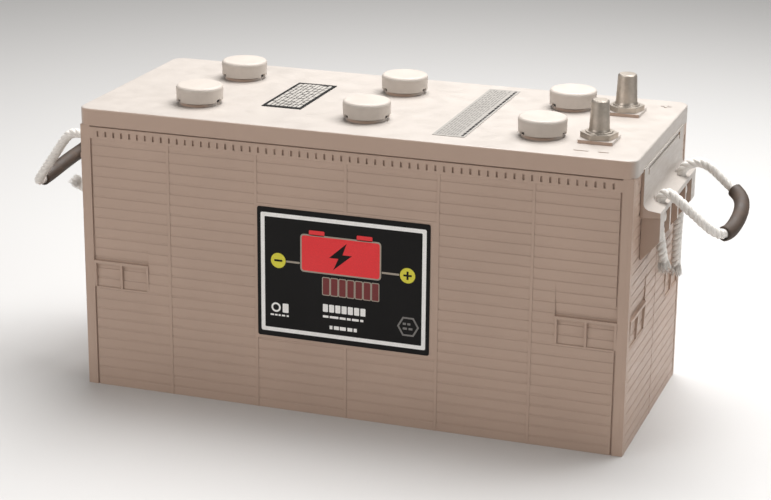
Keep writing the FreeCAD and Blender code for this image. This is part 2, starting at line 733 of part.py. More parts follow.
# The runs whose midpoints are the grip's two ends.
GRIP_RUNS = {"right": (6, 13), "left": (8, 14)}
# Where each frayed tail ends: outward and sideways from its hole, and its height.
TAIL_ENDS = {
    ("right", -1): (4, 1, 160), ("right", 1): (0, 0, 133),
    ("left", -1): (24, -1, 180), ("left", 1): (5, 1, 136),
}


def route_points(side):
    """The rope's route in the model's frame. It starts over the front hole."""
    outward = 1 if side == "right" else -1
    route = RIGHT_ROUTE if side == "right" else LEFT_ROUTE
    hole = size("rope_hole_long")
    return [Vector(outward * (hole + out), across, up) for out, across, up in route]


def route_path(points):
    """Straight runs joined by tangent arcs, each as large as its two runs allow."""
    edges = []
    radii = []
    start = points[0]
    for before, corner, after in zip(points, points[1:], points[2:]):
        back, ahead = (before - corner), (after - corner)
        shorter = min(back.Length, ahead.Length)
        back.normalize()
        ahead.normalize()
        turn = math.pi - back.getAngle(ahead)
        reach = 0.45 * shorter
        radii.append(reach / math.tan(turn / 2))
        first, last = corner + back * reach, corner + ahead * reach
        middle_way = back + ahead
        middle_way.normalize()
        centre = corner + middle_way * (radii[-1] / math.cos(turn / 2))
        middle = centre - middle_way * radii[-1]
        edges += [Part.LineSegment(start, first).toShape(),
                  Part.Arc(first, middle, last).toShape()]
        start = last
    edges.append(Part.LineSegment(start, points[-1]).toShape())
    return Part.Wire(edges), radii


def sweep(path, radius):
    """A round solid along a path, compared with its section times its length."""
    first = path.Edges[0]
    at, way = first.valueAt(first.FirstParameter), first.tangentAt(first.FirstParameter)
    solid = path.makePipeShell([Part.Wire(Part.makeCircle(radius, at, way))], True, True)
    expected = math.pi * radius ** 2 * path.Length
    if abs(solid.Volume / expected - 1) > 0.01:
        raise RuntimeError(f"a tube holds {solid.Volume:.0f} and not {expected:.0f}")
    return solid


def make_handle(side):
    """The rope loop between the two holes, and the hollow grip threaded on it."""
    points = route_points(side)
    whole, radii = route_path(points)
    rope = sweep(whole, size("rope_radius"))
    print(f"handle_rope_{side}: {whole.Length:.1f} long, radii", [round(r, 1) for r in radii])
    path = stretch(points, *GRIP_RUNS[side])
    print(f"handle_grip_{side}: {path.Length:.1f} long")
    outside, inside = [sweep(path, size(radius))
                       for radius in ("grip_radius", "rope_radius + grip_play")]
    return [plain(f"handle_rope_{side}", rope),
            plain(f"handle_grip_{side}", outside.cut(inside))]


def stretch(points, first, last):
    """The part of a route's path between the middles of two of its runs."""
    whole, _ = route_path(points)
    between = whole.Edges[2 * first + 1:2 * last]
    start, end = [(points[run] + points[run + 1]) * 0.5 for run in (first, last)]
    lead_in = Part.LineSegment(start, between[0].valueAt(between[0].FirstParameter))
    lead_out = Part.LineSegment(between[-1].valueAt(between[-1].LastParameter), end)
    return Part.Wire([lead_in.toShape(), *between, lead_out.toShape()])


def make_rope_ends(side):
    """Under the ledge, each rope end has a stopper knot and a short frayed tail."""
    outward = 1 if side == "right" else -1
    radius = size("rope_radius")
    ends = []
    for row in (-1, 1):
        knot = Vector(outward * size("rope_hole_long"), row * size("rope_hole_wide"),
                      size("knot_height"))
        out, across, height = TAIL_ENDS[side, row]
        tail = Vector(knot.x + outward * out, knot.y + across, height) - knot
        stub = Part.makeCylinder(radius, size("stub_top - knot_height"), knot)
        strand = Part.makeCylinder(radius, tail.Length, knot, tail)
        ball = Part.makeSphere(size("knot_radius"), knot)
        ends.append(stub.fuse([ball, strand]).removeSplitter())
    return plain(f"rope_ends_{side}", Part.makeCompound(ends))


# --- cell elements ---------------------------------------------------------------------------

POSITIVES, NEGATIVES = 10, 11
SHEETS = POSITIVES + NEGATIVES - 1


def cell_positions():
    """Each cell's place and its straps' links, from the positive terminal round to the other.

    A link is post for a terminal, side for the neighbour along X and row for the other row.
    """
    step = "(cell_length + partition)"
    row = "(cell_width + partition) / 2"
    return [
        ((step, row, "0"), 1, "post", "side"),
        (("0", row, "0"), 1, "side", "side"),
        ((f"-{step}", row, "0"), 1, "side", "row"),
        ((f"-{step}", f"-{row}", "0"), -1, "row", "side"),
        (("0", f"-{row}", "0"), -1, "side", "side"),
        ((step, f"-{row}", "0"), -1, "side", "post"),
    ]


def make_comb(label, where, side, link, thick, count):
    """A cell's plates of one polarity with their lugs, strap and link to the next cell."""
    body = new_body(label)
    span = f"2 * plate_pitch * ({count} - 1)"
    first = f"-({span}) / 2"
    centre = f"{side} * strap_offset"
    plate = new_sketch(body, "XY_Plane", "floor_thick")
    rectangle(plate, "-plate_half", f"{first} - {thick} / 2", "plate_half", f"{first} + {thick} / 2")
    lug = new_sketch(body, "XY_Plane", "plate_top")
    rectangle(lug, f"{centre} - lug_half", f"{first} - {thick} / 2",
              f"{centre} + lug_half", f"{first} + {thick} / 2")
    repeat(body, [pad(body, plate, "plate_top - floor_thick"),
                  pad(body, lug, "strap_low - plate_top")], "Y_Axis", span, str(count))
    strap = new_sketch(body, "XY_Plane", "strap_low")
    edge = "(cell_width / 2 - strap_gap)"
    rectangle(strap, f"{centre} - strap_half", f"-{edge}", f"{centre} + strap_half", edge)
    pad(body, strap, "strap_top - strap_low")
    if link != "post":
        add_link(body, side, link, centre)
    body.Placement = place(where)
    return body


def add_link(body, side, link, centre):
    """The upright that is welded through the partition to the next cell's upright."""
    riser = new_sketch(body, "XY_Plane", "strap_low")
    if link == "side":
        wall = f"{side} * cell_length / 2"
        rectangle(riser, f"{wall} - {side} * riser_thick", "-riser_half", wall, "riser_half")
        arm = new_sketch(body, "XY_Plane", "strap_low")
        rectangle(arm, centre, "-riser_half", wall, "riser_half")
        pad(body, arm, "riser_thick")
    else:
        wall = f"-{side} * cell_width / 2"
        rectangle(riser, f"{centre} - strap_half", f"{wall} + {side} * riser_thick",
                  f"{centre} + strap_half", wall)
    pad(body, riser, "riser_top - strap_low")


def make_separators():
    """The sheets between neighbouring plates, all cells together."""
    sheets = []
    thick, long = size("separator_thick"), size("2 * (plate_half + separator_rise)")
    tall = size("plate_top + separator_rise - floor_thick")
    for where, *_ in cell_positions():
        centre = place(where).Base
        for step in range(SHEETS):
            across = (step - (SHEETS - 1) / 2) * size("plate_pitch") - thick / 2
            corner = centre + Vector(-long / 2, across, size("floor_thick"))
            sheets.append(Part.makeBox(long, thick, tall, corner))
    return plain("separators", Part.makeCompound(sheets))


def gel_notches():
    """The room that the gel leaves round the inside of the container's corner posts."""
    gap = size("gel_gap")
    notches = []
    for turn, face, half in walls():
        if turn % 180 == 0:
            for side in (-1, 1):
                left, right = sorted((side * half, side * (half - size("corner_long") - gap)))
                notches.append(wall_block(turn, left, right, 0, size("gel_top"),
                                          face - size("corner_wide") - gap, face))
    return notches


def make_gel(combs, separators):
    """The gelled acid that fills each cell around its plates and separators."""
    fills = []
    notches = gel_notches()
    length, width = size("cell_length - 2 * gel_gap"), size("cell_width - 2 * gel_gap")
    low = size("floor_thick + gel_gap")
    for number, (where, *_) in enumerate(cell_positions()):
        corner = place(where).Base + Vector(-length / 2, -width / 2, low)
        block = Part.makeBox(length, width, size("gel_top") - low, corner)
        inside = separators.Shape.Solids[SHEETS * number:SHEETS * (number + 1)]
        pair = [comb.Shape for comb in combs[2 * number:2 * number + 2]]
        fills.append(block.cut(pair + inside + notches))
    return plain("gel_electrolyte", Part.makeCompound(fills))


def make_connectors():
    """The weld nuggets that join neighbouring straps through the partitions."""
    long, wide = size("(cell_length + partition) / 2"), size("(cell_width + partition) / 2")
    up, thick, radius = size("link_height"), size("partition"), size("link_radius")
    nuggets = [Part.makeCylinder(radius, thick, Vector(column * long - thick / 2, row * wide, up),
                                 Vector(1, 0, 0))
               for row in (-1, 1) for column in (-1, 1)]
    cross = Vector(-size("cell_length + partition + strap_offset"), -thick / 2, up)
    nuggets.append(Part.makeCylinder(radius, thick, cross, Vector(0, 1, 0)))
    return plain("intercell_connectors", Part.makeCompound(nuggets))


# --- labels ----------------------------------------------------------------------------------


def make_labels():
    """The sheet on the front wall and two on the cover."""
    thick, face, top = size("label_thick"), size("case_width / 2"), size("cover_top")
    front = Part.makeBox(size("front_long"), thick, size("front_tall"),
                         Vector(size("front_left"), -face - thick, size("front_low")))
    corners = [edge for edge in front.Edges if abs(edge.tangentAt(0).y) > 0.99]
    sheets = [plain("front_label", front.makeFillet(size("label_corner"), corners))]
    for label, word in (("rating_label", "rating"), ("instruction_label", "guide")):
        corner = Vector(size(f"{word}_left"), size(f"{word}_front"), top)
        sheets.append(plain(label, Part.makeBox(size(f"{word}_long"), size(f"{word}_wide"),
                                                thick, corner)))
    return sheets


# --- the whole battery -----------------------------------------------------------------------


def check(pieces):
    """Stops the build if any object failed or a piece isn't a valid shape."""
    failed = [thing.Name for thing in doc.Objects if {"Invalid", "Error"} & set(thing.State)]
    failed += [piece.Label for piece in pieces
               if piece.Shape.isNull() or not piece.Shape.isValid() or not piece.Shape.Solids]
    if failed:
        raise RuntimeError(f"these failed: {failed}")


def main():
    pieces = [make_container(), make_cover(), *make_labels(), make_gaskets()]
    for number, where in enumerate(vent_positions(), 1):
        pieces += [make_vent_cap(number, where), make_vent_body(number, where),
                   make_relief_valve(number, where), make_flame_arrestor(number, where)]
    pieces += make_terminal("positive", "") + make_terminal("negative", "-")
    for side in ("right", "left"):
        pieces += [*make_handle(side), make_rope_ends(side)]
    combs = []
    for number, (where, side, positive_link, negative_link) in enumerate(cell_positions(), 1):
        combs.append(make_comb(f"positive_plates_{number}", where, side, positive_link,
                               "positive_thick", POSITIVES))
        combs.append(make_comb(f"negative_plates_{number}", where, -side, negative_link,
                               "negative_thick", NEGATIVES))
    doc.recompute()
    separators = make_separators()
    pieces += [*combs, separators, make_gel(combs, separators), make_connectors()]
    doc.recompute()
    check(pieces)
    os.makedirs("parts", exist_ok=True)
    for piece in pieces:
        piece.Shape.exportStep(f"parts/{piece.Label}.step")


main()
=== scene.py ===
"""The looks of a gel deep cycle battery: plastic case, lead posts, rope handles and labels.

Metres, in the frame of the CAD model: +X to the terminal end, -Y to the labelled side, +Z up.
"""
import bmesh
import bpy
import math
import random
from mathutils import Matrix, Vector


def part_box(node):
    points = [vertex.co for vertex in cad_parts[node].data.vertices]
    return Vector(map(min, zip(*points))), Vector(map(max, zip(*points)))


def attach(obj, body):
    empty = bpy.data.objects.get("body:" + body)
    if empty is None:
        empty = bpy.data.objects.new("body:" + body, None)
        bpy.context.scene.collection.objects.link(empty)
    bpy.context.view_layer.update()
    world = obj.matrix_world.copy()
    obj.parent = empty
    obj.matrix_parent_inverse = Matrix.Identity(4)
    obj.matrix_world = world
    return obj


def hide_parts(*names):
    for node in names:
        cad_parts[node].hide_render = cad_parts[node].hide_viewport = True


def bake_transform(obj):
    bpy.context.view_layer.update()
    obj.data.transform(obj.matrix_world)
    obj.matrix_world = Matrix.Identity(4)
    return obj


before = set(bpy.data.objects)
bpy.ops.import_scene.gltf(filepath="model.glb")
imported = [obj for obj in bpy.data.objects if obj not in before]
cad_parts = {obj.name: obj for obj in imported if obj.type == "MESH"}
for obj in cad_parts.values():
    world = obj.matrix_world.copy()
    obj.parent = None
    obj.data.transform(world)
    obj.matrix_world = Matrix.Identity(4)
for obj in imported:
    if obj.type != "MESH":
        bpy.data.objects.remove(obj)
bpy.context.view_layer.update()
MM = 0.001
scene = bpy.context.scene

# Linear colours
TAUPE = (0.475, 0.345, 0.272)
PALE_TAUPE = (0.495, 0.448, 0.408)
CAP_GREY = (0.53, 0.475, 0.425)
LEAD = (0.56, 0.50, 0.435)
ROPE = (0.90, 0.86, 0.81)
GRIP = (0.050, 0.032, 0.022)
BLACK = (0.0050, 0.0045, 0.0045)
PAPER = (0.335, 0.312, 0.285)
WHITE_INK = (0.93, 0.92, 0.90)
RED_INK = (0.84, 0.022, 0.028)
DARK_RED_INK = (0.16, 0.010, 0.010)
YELLOW_INK = (0.74, 0.68, 0.045)
BEIGE_INK = (0.36, 0.31, 0.25)
GREY_INK = (0.20, 0.19, 0.18)


# --- camera ----------------------------------------------------------------------------------

CAMERA_AT = (0.63918, -1.85678, 0.76805)
CAMERA_AZIMUTH, CAMERA_ELEVATION, CAMERA_ROLL = (math.radians(turn) for turn in (18.98, 18.0, 0.5))
CAMERA_LENS_MM = 101.34


def add_camera():
    camera = bpy.data.objects.new("camera", bpy.data.cameras.new("camera"))
    scene.collection.objects.link(camera)
    level = math.cos(CAMERA_ELEVATION)
    back = Vector((math.sin(CAMERA_AZIMUTH) * level, -math.cos(CAMERA_AZIMUTH) * level,
                   math.sin(CAMERA_ELEVATION)))
    right = Vector((math.cos(CAMERA_AZIMUTH), math.sin(CAMERA_AZIMUTH), 0))
    upright = Matrix((right, back.cross(right), back)).transposed()
    turned = Matrix.Rotation(CAMERA_ROLL, 3, back) @ upright
    camera.matrix_world = Matrix.Translation(CAMERA_AT) @ turned.to_4x4()
    camera.data.lens = CAMERA_LENS_MM
    camera.data.sensor_width = 36
    scene.camera = camera


# --- materials -------------------------------------------------------------------------------


class Nodes:
    """A material's node tree, with a Principled shader at its end."""

    def __init__(self, name):
        self.material = bpy.data.materials.new(name)
        self.material.use_nodes = True
        self.tree = self.material.node_tree
        self.shader = self.tree.nodes["Principled BSDF"]
        self.where = self.add("ShaderNodeTexCoord").outputs["Object"]

    def add(self, kind, inputs=(), **settings):
        made = self.tree.nodes.new(kind)
        for key, value in settings.items():
            setattr(made, key, value)
        for key, value in dict(inputs).items():
            self.link(value, made.inputs[key])
        return made

    def link(self, value, socket):
        if isinstance(value, bpy.types.NodeSocket):
            self.tree.links.new(value, socket)
        else:
            socket.default_value = value

    def set(self, **values):
        for key, value in values.items():
            self.link(value, self.shader.inputs[key.replace("_", " ")])

    def noise(self, scale, detail=4, where=None, roughness=0.55):
        made = self.add("ShaderNodeTexNoise", {
            "Vector": where or self.where, "Scale": scale, "Detail": detail, "Roughness": roughness})
        return made.outputs["Fac"]

    def stretched(self, scale, where=None):
        """The coordinates scaled by three factors, for grain that runs one way."""
        made = self.add("ShaderNodeMapping", {"Vector": where or self.where, "Scale": scale})
        return made.outputs["Vector"]

    def between(self, factor, low, high, at=(0.0, 1.0)):
        """A number from low to high as the factor goes over a range."""
        made = self.add("ShaderNodeMapRange", {
            "Value": factor, "From Min": at[0], "From Max": at[1], "To Min": low, "To Max": high})
        return made.outputs["Result"]

    def shades(self, factor, *stops):
        """Colours along the factor, as pairs of place and colour."""
        ramp = self.add("ShaderNodeValToRGB", {"Fac": factor})
        for place, _ in stops[2:]:
            ramp.color_ramp.elements.new(place)
        for element, (place, colour) in zip(ramp.color_ramp.elements, stops):
            element.position = place
            element.color = (*colour, 1)
        return ramp.outputs["Color"]

    def bumps(self, *layers, rounding=None):
        """Stacked bumps, each a height and its depth in metres, over softened edges."""
        normal = None
        if rounding:
            normal = self.add("ShaderNodeBevel", {"Radius": rounding}, samples=6).outputs["Normal"]
        for height, depth in layers:
            bump = self.add("ShaderNodeBump", {"Height": height, "Distance": depth})
            if normal:
                self.link(normal, bump.inputs["Normal"])
            normal = bump.outputs["Normal"]
        self.set(Normal=normal)


def scaled(colour, factor):
    return tuple(min(channel * factor, 1) for channel in colour)


def moulded_plastic(name, colour, roughness=0.42, flow=0.05, shaded_side_colour=None):
    """Injection-moulded polypropylene: faint flow marks, a fine grain and handling scuffs.

    Painted shade: a side colour, a darker shaded copy of the plastic's colour, shows on walls that
    face front or back.
    """
    mat = Nodes(name)
    cloud = mat.noise(9, 3)
    speck = mat.noise(900, 2)
    scuff = mat.noise(60, 6, mat.stretched((1, 1, 7)))
    tone = mat.add("ShaderNodeMath", {0: cloud, 1: mat.between(speck, -0.06, 0.06)},
                   operation="ADD").outputs[0]
    base = mat.shades(tone, (0.25, scaled(colour, 1 - flow)), (0.75, scaled(colour, 1 + flow)))
    if shaded_side_colour:
        # Painted shade: walls that face front or back blend into the darker side colour by their
        # normal.
        split = mat.add("ShaderNodeSeparateXYZ", {
            "Vector": mat.add("ShaderNodeTexCoord").outputs["Normal"]})
        painted_shade_mask = mat.add("ShaderNodeMath", {0: split.outputs["Y"]}, operation="ABSOLUTE").outputs[0]
        base = mat.add("ShaderNodeMix", {
            "Factor": mat.between(painted_shade_mask, 0, 1, (0.45, 0.9)), 6: base, 7: (*shaded_side_colour, 1)},
            data_type="RGBA").outputs[2]
    mat.set(Base_Color=base)
    mat.set(Roughness=mat.between(scuff, roughness - 0.10, roughness + 0.12, (0.3, 0.7)))
    mat.set(Specular_IOR_Level=0.45)
    mat.bumps((cloud, 0.0004), (mat.noise(2200, 2), 0.00004), (scuff, 0.00005),
              rounding=0.7 * MM)
    return mat.material


def cast_lead(name, colour=LEAD, roughness=0.34):
    """Turned and handled lead: bright, with fine rings, nicks and a dull oxide bloom."""
    mat = Nodes(name)
    bloom = mat.noise(70, 6)
    rings = mat.noise(1, 3, mat.stretched((30, 30, 2600)))
    nicks = mat.noise(420, 3)
    mat.set(Base_Color=mat.shades(
        bloom, (0.35, scaled(colour, 0.70)), (0.62, colour)))
    mat.set(Metallic=0.95)
    mat.set(Roughness=mat.between(bloom, roughness + 0.16, roughness, (0.35, 0.65)))
    mat.bumps((rings, 0.00006), (nicks, 0.00012), rounding=0.5 * MM)
    return mat.material


def paste(name, colour):
    """Pressed active paste: matt and granular."""
    mat = Nodes(name)
    grain = mat.noise(700, 5)
    mat.set(Base_Color=mat.shades(grain, (0.3, scaled(colour, 0.8)), (0.7, scaled(colour, 1.15))))
    mat.set(Roughness=0.85)
    mat.bumps((grain, 0.0002))
    return mat.material


def soft_rubber(name, colour, roughness=0.5):
    """Flexible vinyl or rubber with a dull skin, scuffed pale in places."""
    mat = Nodes(name)
    worn = mat.noise(90, 6)
    mat.set(Base_Color=mat.shades(
        worn, (0.45, colour), (0.66, scaled(colour, 1.5)), (0.85, scaled(colour, 2.2))))
    mat.set(Roughness=mat.between(worn, roughness - 0.08, roughness + 0.14, (0.35, 0.7)))
    mat.set(Specular_IOR_Level=0.5)
    mat.bumps((worn, 0.00015), (mat.noise(1500, 2), 0.00005))
    return mat.material


def twisted_fibre(name, colour):
    """Fine yarns that run along each strand, dusty in patches."""
    mat = Nodes(name)
    along = mat.add("ShaderNodeTexCoord").outputs["UV"]
    yarns = mat.noise(1, 3, mat.stretched((3, 26, 1), along))
    dirt = mat.noise(45, 5)
    mat.set(Base_Color=mat.add("ShaderNodeMix", {
        "Factor": mat.between(dirt, 0, 0.45, (0.45, 0.75)),
        6: mat.shades(yarns, (0.30, scaled(colour, 0.8)), (0.55, colour), (0.8, scaled(colour, 1.1))),
        7: (*scaled(colour, 0.68), 1)}, data_type="RGBA").outputs[2])
    mat.set(Roughness=0.72)
    mat.set(Sheen_Weight=0.25)
    mat.bumps((yarns, 0.0005), (mat.noise(1800, 2), 0.0001))
    return mat.material


def printed_vinyl(name, colour, roughness=0.32, gloss=0.5):
    """A printed label face: smooth ink over faint ripples from the wall below.

    The gloss is the shader's specular level.
    """
    mat = Nodes(name)
    ripple = mat.noise(24, 3)
    fleck = mat.noise(800, 3)
    mat.set(Base_Color=mat.shades(
        fleck, (0.3, scaled(colour, 0.9)), (0.75, scaled(colour, 1.06))))
    mat.set(Roughness=mat.between(ripple, roughness - 0.05, roughness + 0.1, (0.3, 0.7)))
    mat.set(Specular_IOR_Level=gloss)
    mat.bumps((ripple, 0.0003), (fleck, 0.00002))
    return mat.material


def gel(name):
    mat = Nodes(name)
    haze = mat.noise(120, 4)
    mat.set(Base_Color=mat.shades(haze, (0.3, (0.62, 0.62, 0.60)), (0.7, (0.78, 0.78, 0.75))))
    mat.set(Roughness=0.25)
    mat.bumps((haze, 0.0003))
    return mat.material


def stage_paint(name, colour):
    mat = Nodes(name)
    mat.set(Base_Color=(*colour, 1))
    mat.set(Roughness=0.6)
    return mat.material


MATERIALS = {
    "case": moulded_plastic("case_plastic", TAUPE),
    # The cover is drawn as lit and shaded copies of one plastic: painted shade darkens its front and
    # back walls to the case taupe.
    "cover": moulded_plastic("cover_plastic", PALE_TAUPE, 0.40, 0.02, TAUPE),
    "cap": moulded_plastic("cap_plastic", CAP_GREY, 0.46),
    "plug": moulded_plastic("plug_plastic", (0.07, 0.07, 0.07)),
    "lead": cast_lead("turned_lead"),
    "strap": cast_lead("cast_strap_lead", scaled(LEAD, 0.75), 0.5),
    "positive_paste": paste("positive_paste", (0.050, 0.022, 0.014)),
    "negative_paste": paste("negative_paste", (0.16, 0.165, 0.17)),
    "separator": paste("separator_sheet", (0.68, 0.66, 0.60)),
    "arrestor": paste("porous_disc", (0.70, 0.69, 0.66)),
    "gel": gel("silica_gel"),
    "seal": soft_rubber("seal_rubber", (0.02, 0.02, 0.02)),
    "grip": soft_rubber("grip_vinyl", GRIP, 0.62),
    "rope": twisted_fibre("rope_fibre", ROPE),
    "black": printed_vinyl("label_black", BLACK, 0.4, 0.18),
    "paper": printed_vinyl("label_paper", PAPER, 0.5),
    "white_ink": printed_vinyl("ink_white", WHITE_INK, 0.4),
    "red_ink": printed_vinyl("ink_red", RED_INK, 0.34),
    "dark_red_ink": printed_vinyl("ink_dark_red", DARK_RED_INK, 0.34),
    "yellow_ink": printed_vinyl("ink_yellow", YELLOW_INK, 0.36),
    "beige_ink": printed_vinyl("ink_beige", BEIGE_INK, 0.36),
    "grey_ink": printed_vinyl("ink_grey", GREY_INK, 0.4),
    "pale_ink": printed_vinyl("ink_pale_grey", scaled(PAPER, 1.25), 0.45),
    "faint_ink": printed_vinyl("ink_faint_grey", scaled(PAPER, 0.6), 0.45),
}

NODE_MATERIALS = {
    "container": "case", "cover": "cover", "vent_cap": "cap", "vent_body": "plug",
    "relief_valve": "seal", "flame_arrestor": "arrestor", "vent_gaskets": "seal",
    "positive_terminal": "lead", "negative_terminal": "lead", "positive_post_seal": "seal",
    "negative_post_seal": "seal", "positive_plates": "positive_paste",
    "negative_plates": "negative_paste", "separators": "separator", "gel_electrolyte": "gel",
    "intercell_connectors": "strap", "front_label": "black", "rating_label": "black",
    "instruction_label": "paper",
}


def dress_nodes():
    """Gives each CAD node but the ropes and grips the material for the start of its name."""
    for name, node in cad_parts.items():
        found = next((slot for start, slot in NODE_MATERIALS.items() if name.startswith(start)), None)
        if found:
            node.data.materials.clear()
            node.data.materials.append(MATERIALS[found])


# --- mesh helpers ----------------------------------------------------------------------------


def new_piece(name, mesh, material, body="case"):
    piece = bpy.data.objects.new(name, mesh)
    scene.collection.objects.link(piece)
    mesh.materials.append(MATERIALS[material])
    if body:
        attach(piece, body)
    return piece


def frames_along(line):
    """At each point of a line: its direction and a side that turns as little as possible."""
    ways = [(b - a).normalized() for a, b in zip(line, line[1:])]
    ways = [ways[0]] + [(a + b).normalized() for a, b in zip(ways, ways[1:])] + [ways[-1]]
    side = ways[0].orthogonal().normalized()
    found = []
    for before, way in zip([ways[0]] + ways, ways):
        side = before.rotation_difference(way) @ side
        found.append((way, side, way.cross(side)))
    return found


def tube_rings(mesh, rings, closed_ends=True):
    """Joins rings of points into a tube, with a UV that runs along it and round it."""
    layer = mesh.loops.layers.uv.verify()
    rows = [[mesh.verts.new(point) for point in points] for points in rings]
    around = len(rows[0])
    lengths = [0.0]
    for a, b in zip(rings, rings[1:]):
        lengths.append(lengths[-1] + (b[0] - a[0]).length)
    for row, (first, second) in enumerate(zip(rows, rows[1:])):
        for spot in range(around):
            after = (spot + 1) % around
            face = mesh.faces.new((first[spot], first[after], second[after], second[spot]))
            face.smooth = True
            for loop, (u, v) in zip(face.loops, (
                    (lengths[row], spot), (lengths[row], spot + 1),
                    (lengths[row + 1], spot + 1), (lengths[row + 1], spot))):
                loop[layer].uv = (u * 100, v / around)
    if closed_ends:
        mesh.faces.new(reversed(rows[0]))
        mesh.faces.new(rows[-1])


def ring(centre, side, other, radius, around):
    return [centre + (side * math.cos(turn) + other * math.sin(turn)) * radius
            for turn in (math.tau * spot / around for spot in range(around))]


def finished(mesh, name):
    mesh.normal_update()
    bmesh.ops.recalc_face_normals(mesh, faces=mesh.faces)
    data = bpy.data.meshes.new(name)
    mesh.to_mesh(data)
    mesh.free()
    return data


def smooth_line(points, per_point=10):
    """Points along the NURBS spline of a route."""
    curve = bpy.data.curves.new("route", "CURVE")
    curve.dimensions = "3D"
    curve.resolution_u = per_point
    spline = curve.splines.new("NURBS")
    spline.points.add(len(points) - 1)
    for knot, place in zip(spline.points, points):
        knot.co = (*place, 1)
    spline.order_u = 3
    spline.use_endpoint_u = True
    holder = bpy.data.objects.new("route", curve)
    mesh = bpy.data.meshes.new_from_object(holder)
    line = [vertex.co.copy() for vertex in mesh.vertices]
    bpy.data.objects.remove(holder)
    bpy.data.curves.remove(curve)
    bpy.data.meshes.remove(mesh)
    return line


def evenly(line, step):
    """The same line with points a step apart."""
    lengths = [0.0]
    for a, b in zip(line, line[1:]):
        lengths.append(lengths[-1] + (b - a).length)
    count = max(2, round(lengths[-1] / step))
    spots, at = [], 0
    for number in range(count + 1):
        want = lengths[-1] * number / count
        while at < len(line) - 2 and lengths[at + 1] < want:
            at += 1
        share = (want - lengths[at]) / max(lengths[at + 1] - lengths[at], 1e-9)
        spots.append(line[at].lerp(line[at + 1], share))
    return spots


def length_of(line):
    return sum((b - a).length for a, b in zip(line, line[1:]))


# --- rope handles ----------------------------------------------------------------------------

HOLE_LONG, HOLE_WIDE = 271 * MM, 45 * MM
ROPE_RADIUS = 4.75 * MM
GRIP_RADIUS = 6.9 * MM
GRIP_PLAY = 0.35 * MM
OUTWARD = {"right": 1, "left": -1}
ROW = {"front": -1, "rear": 1}
# Three strands, each 0.6 of the rope's radius, go once round in a lay.
STRANDS = 3
STRAND_SHARE = 0.6
LAY = 15.5 * MM
# The points of a rope's line, and of its strands, stand about this far apart.
LINE_STEP, STRAND_STEP = 1.0 * MM, 1.3 * MM
# The rope bends between these places, outward from the holes and up from the pivot.
# Outward, sideways and upward places along each rope in millimetres, from hole to hole. Outward
# counts from the holes' centre line. The first and last points are inside the holes.
RIGHT_ROUTE = [
    (0, -45, 217), (0.6, -45, 223), (3.8, -45, 228), (10, -45.3, 227.8), (17, -45.8, 222.3),
    (25, -46.2, 216.6), (33, -46.2, 210.3), (41, -45.5, 203.4), (48.5, -43, 196.8),
    (55, -36.5, 192.6), (59.5, -26, 192.4), (62, -13.5, 194.9), (63.5, 0, 198.9),
    (63.3, 13.5, 203), (61, 26, 206.3), (56.5, 36.5, 208.6), (50, 43, 212), (42, 45.5, 217.6),
    (34, 46.3, 224.3), (26, 46.6, 230.6), (17, 46.4, 233.6), (8.5, 45.8, 231.4),
    (3, 45.1, 228), (0.6, 45, 223), (0, 45, 217),
]
LEFT_ROUTE = [
    (0, -45, 217), (0.6, -45, 223), (3.8, -45, 228), (11, -45.2, 228.6), (22, -45.8, 228.2),
    (34, -46.3, 227.8), (42, -46.5, 218.4), (49.5, -46.5, 207), (57.2, -46.5, 196.4),
    (65, -46, 185.6), (72.5, -43, 175.6), (75.3, -33, 172.6), (74.8, -20, 173.6),
    (73.8, -6, 175.8), (73.2, 8, 177.8), (72.8, 22, 179.6), (71.5, 35, 181.6),
    (66.5, 43.5, 185.6), (59, 46.5, 192.6), (50, 47, 200.8), (41, 47.2, 209),
    (32.5, 47, 216.2), (24.5, 46.7, 221.8), (16.5, 46.2, 225.8), (8.2, 45.6, 228.2),
    (3.4, 45, 227.6), (0.6, 45, 223), (0, 45, 217),
]
# Where the grip starts and stops, as shares of the rope's length.
GRIP_SPANS = {"right": (0.346, 0.710), "left": (0.421, 0.699)}
# Each frayed tail below its knot, in millimetres: outward and sideways from its hole, and height.
TAIL_ROUTES = {
    ("right", "front"): [(1, 0, 192), (3.5, 0.5, 178), (6, 1, 164.5)],
    ("right", "rear"): [(0.5, 0, 184), (-0.4, 0.4, 158), (0, 0, 133)],
    ("left", "front"): [(1.5, 0, 190), (6, -0.5, 175.5), (16, -1, 169), (25, -1, 177)],
    ("left", "rear"): [(1, 0, 185), (3, 0.5, 160), (5, 1, 136)],
}
KNOT_HIGH, TAIL_HIGH = 206.5 * MM, 221.5 * MM
# The knot's reach along X, Y and Z, and the radius of the rope in it, pulled thin.
KNOT_REACH = (1.15 * MM, 1.9 * MM, 3.1 * MM)
KNOT_ROPE_RADIUS = 3.4 * MM
YARNS = 90
YARN_RADIUS = 0.4 * MM
# How far the yarns splay and sway, and how deep their roots are in the tail.
SPLAY, SWAY, ROOT = 5 * MM, 1.4 * MM, 3 * MM
FRAY_SEEDS = {"right": 1, "left": 5}


def route_of(side):
    route = RIGHT_ROUTE if side == "right" else LEFT_ROUTE
    return [Vector((OUTWARD[side] * (HOLE_LONG + out * MM), across * MM, up * MM))
            for out, across, up in route]


def tail_of(side, word):
    """A tail's route, from the hole through its knot to the frayed end."""
    hole = Vector((OUTWARD[side] * HOLE_LONG, ROW[word] * HOLE_WIDE, 0))
    through_knot = [hole + Vector((0, 0, high)) for high in (TAIL_HIGH, KNOT_HIGH)]
    return through_knot + [hole + Vector((OUTWARD[side] * out, across, up)) * MM
                           for out, across, up in TAIL_ROUTES[side, word]]


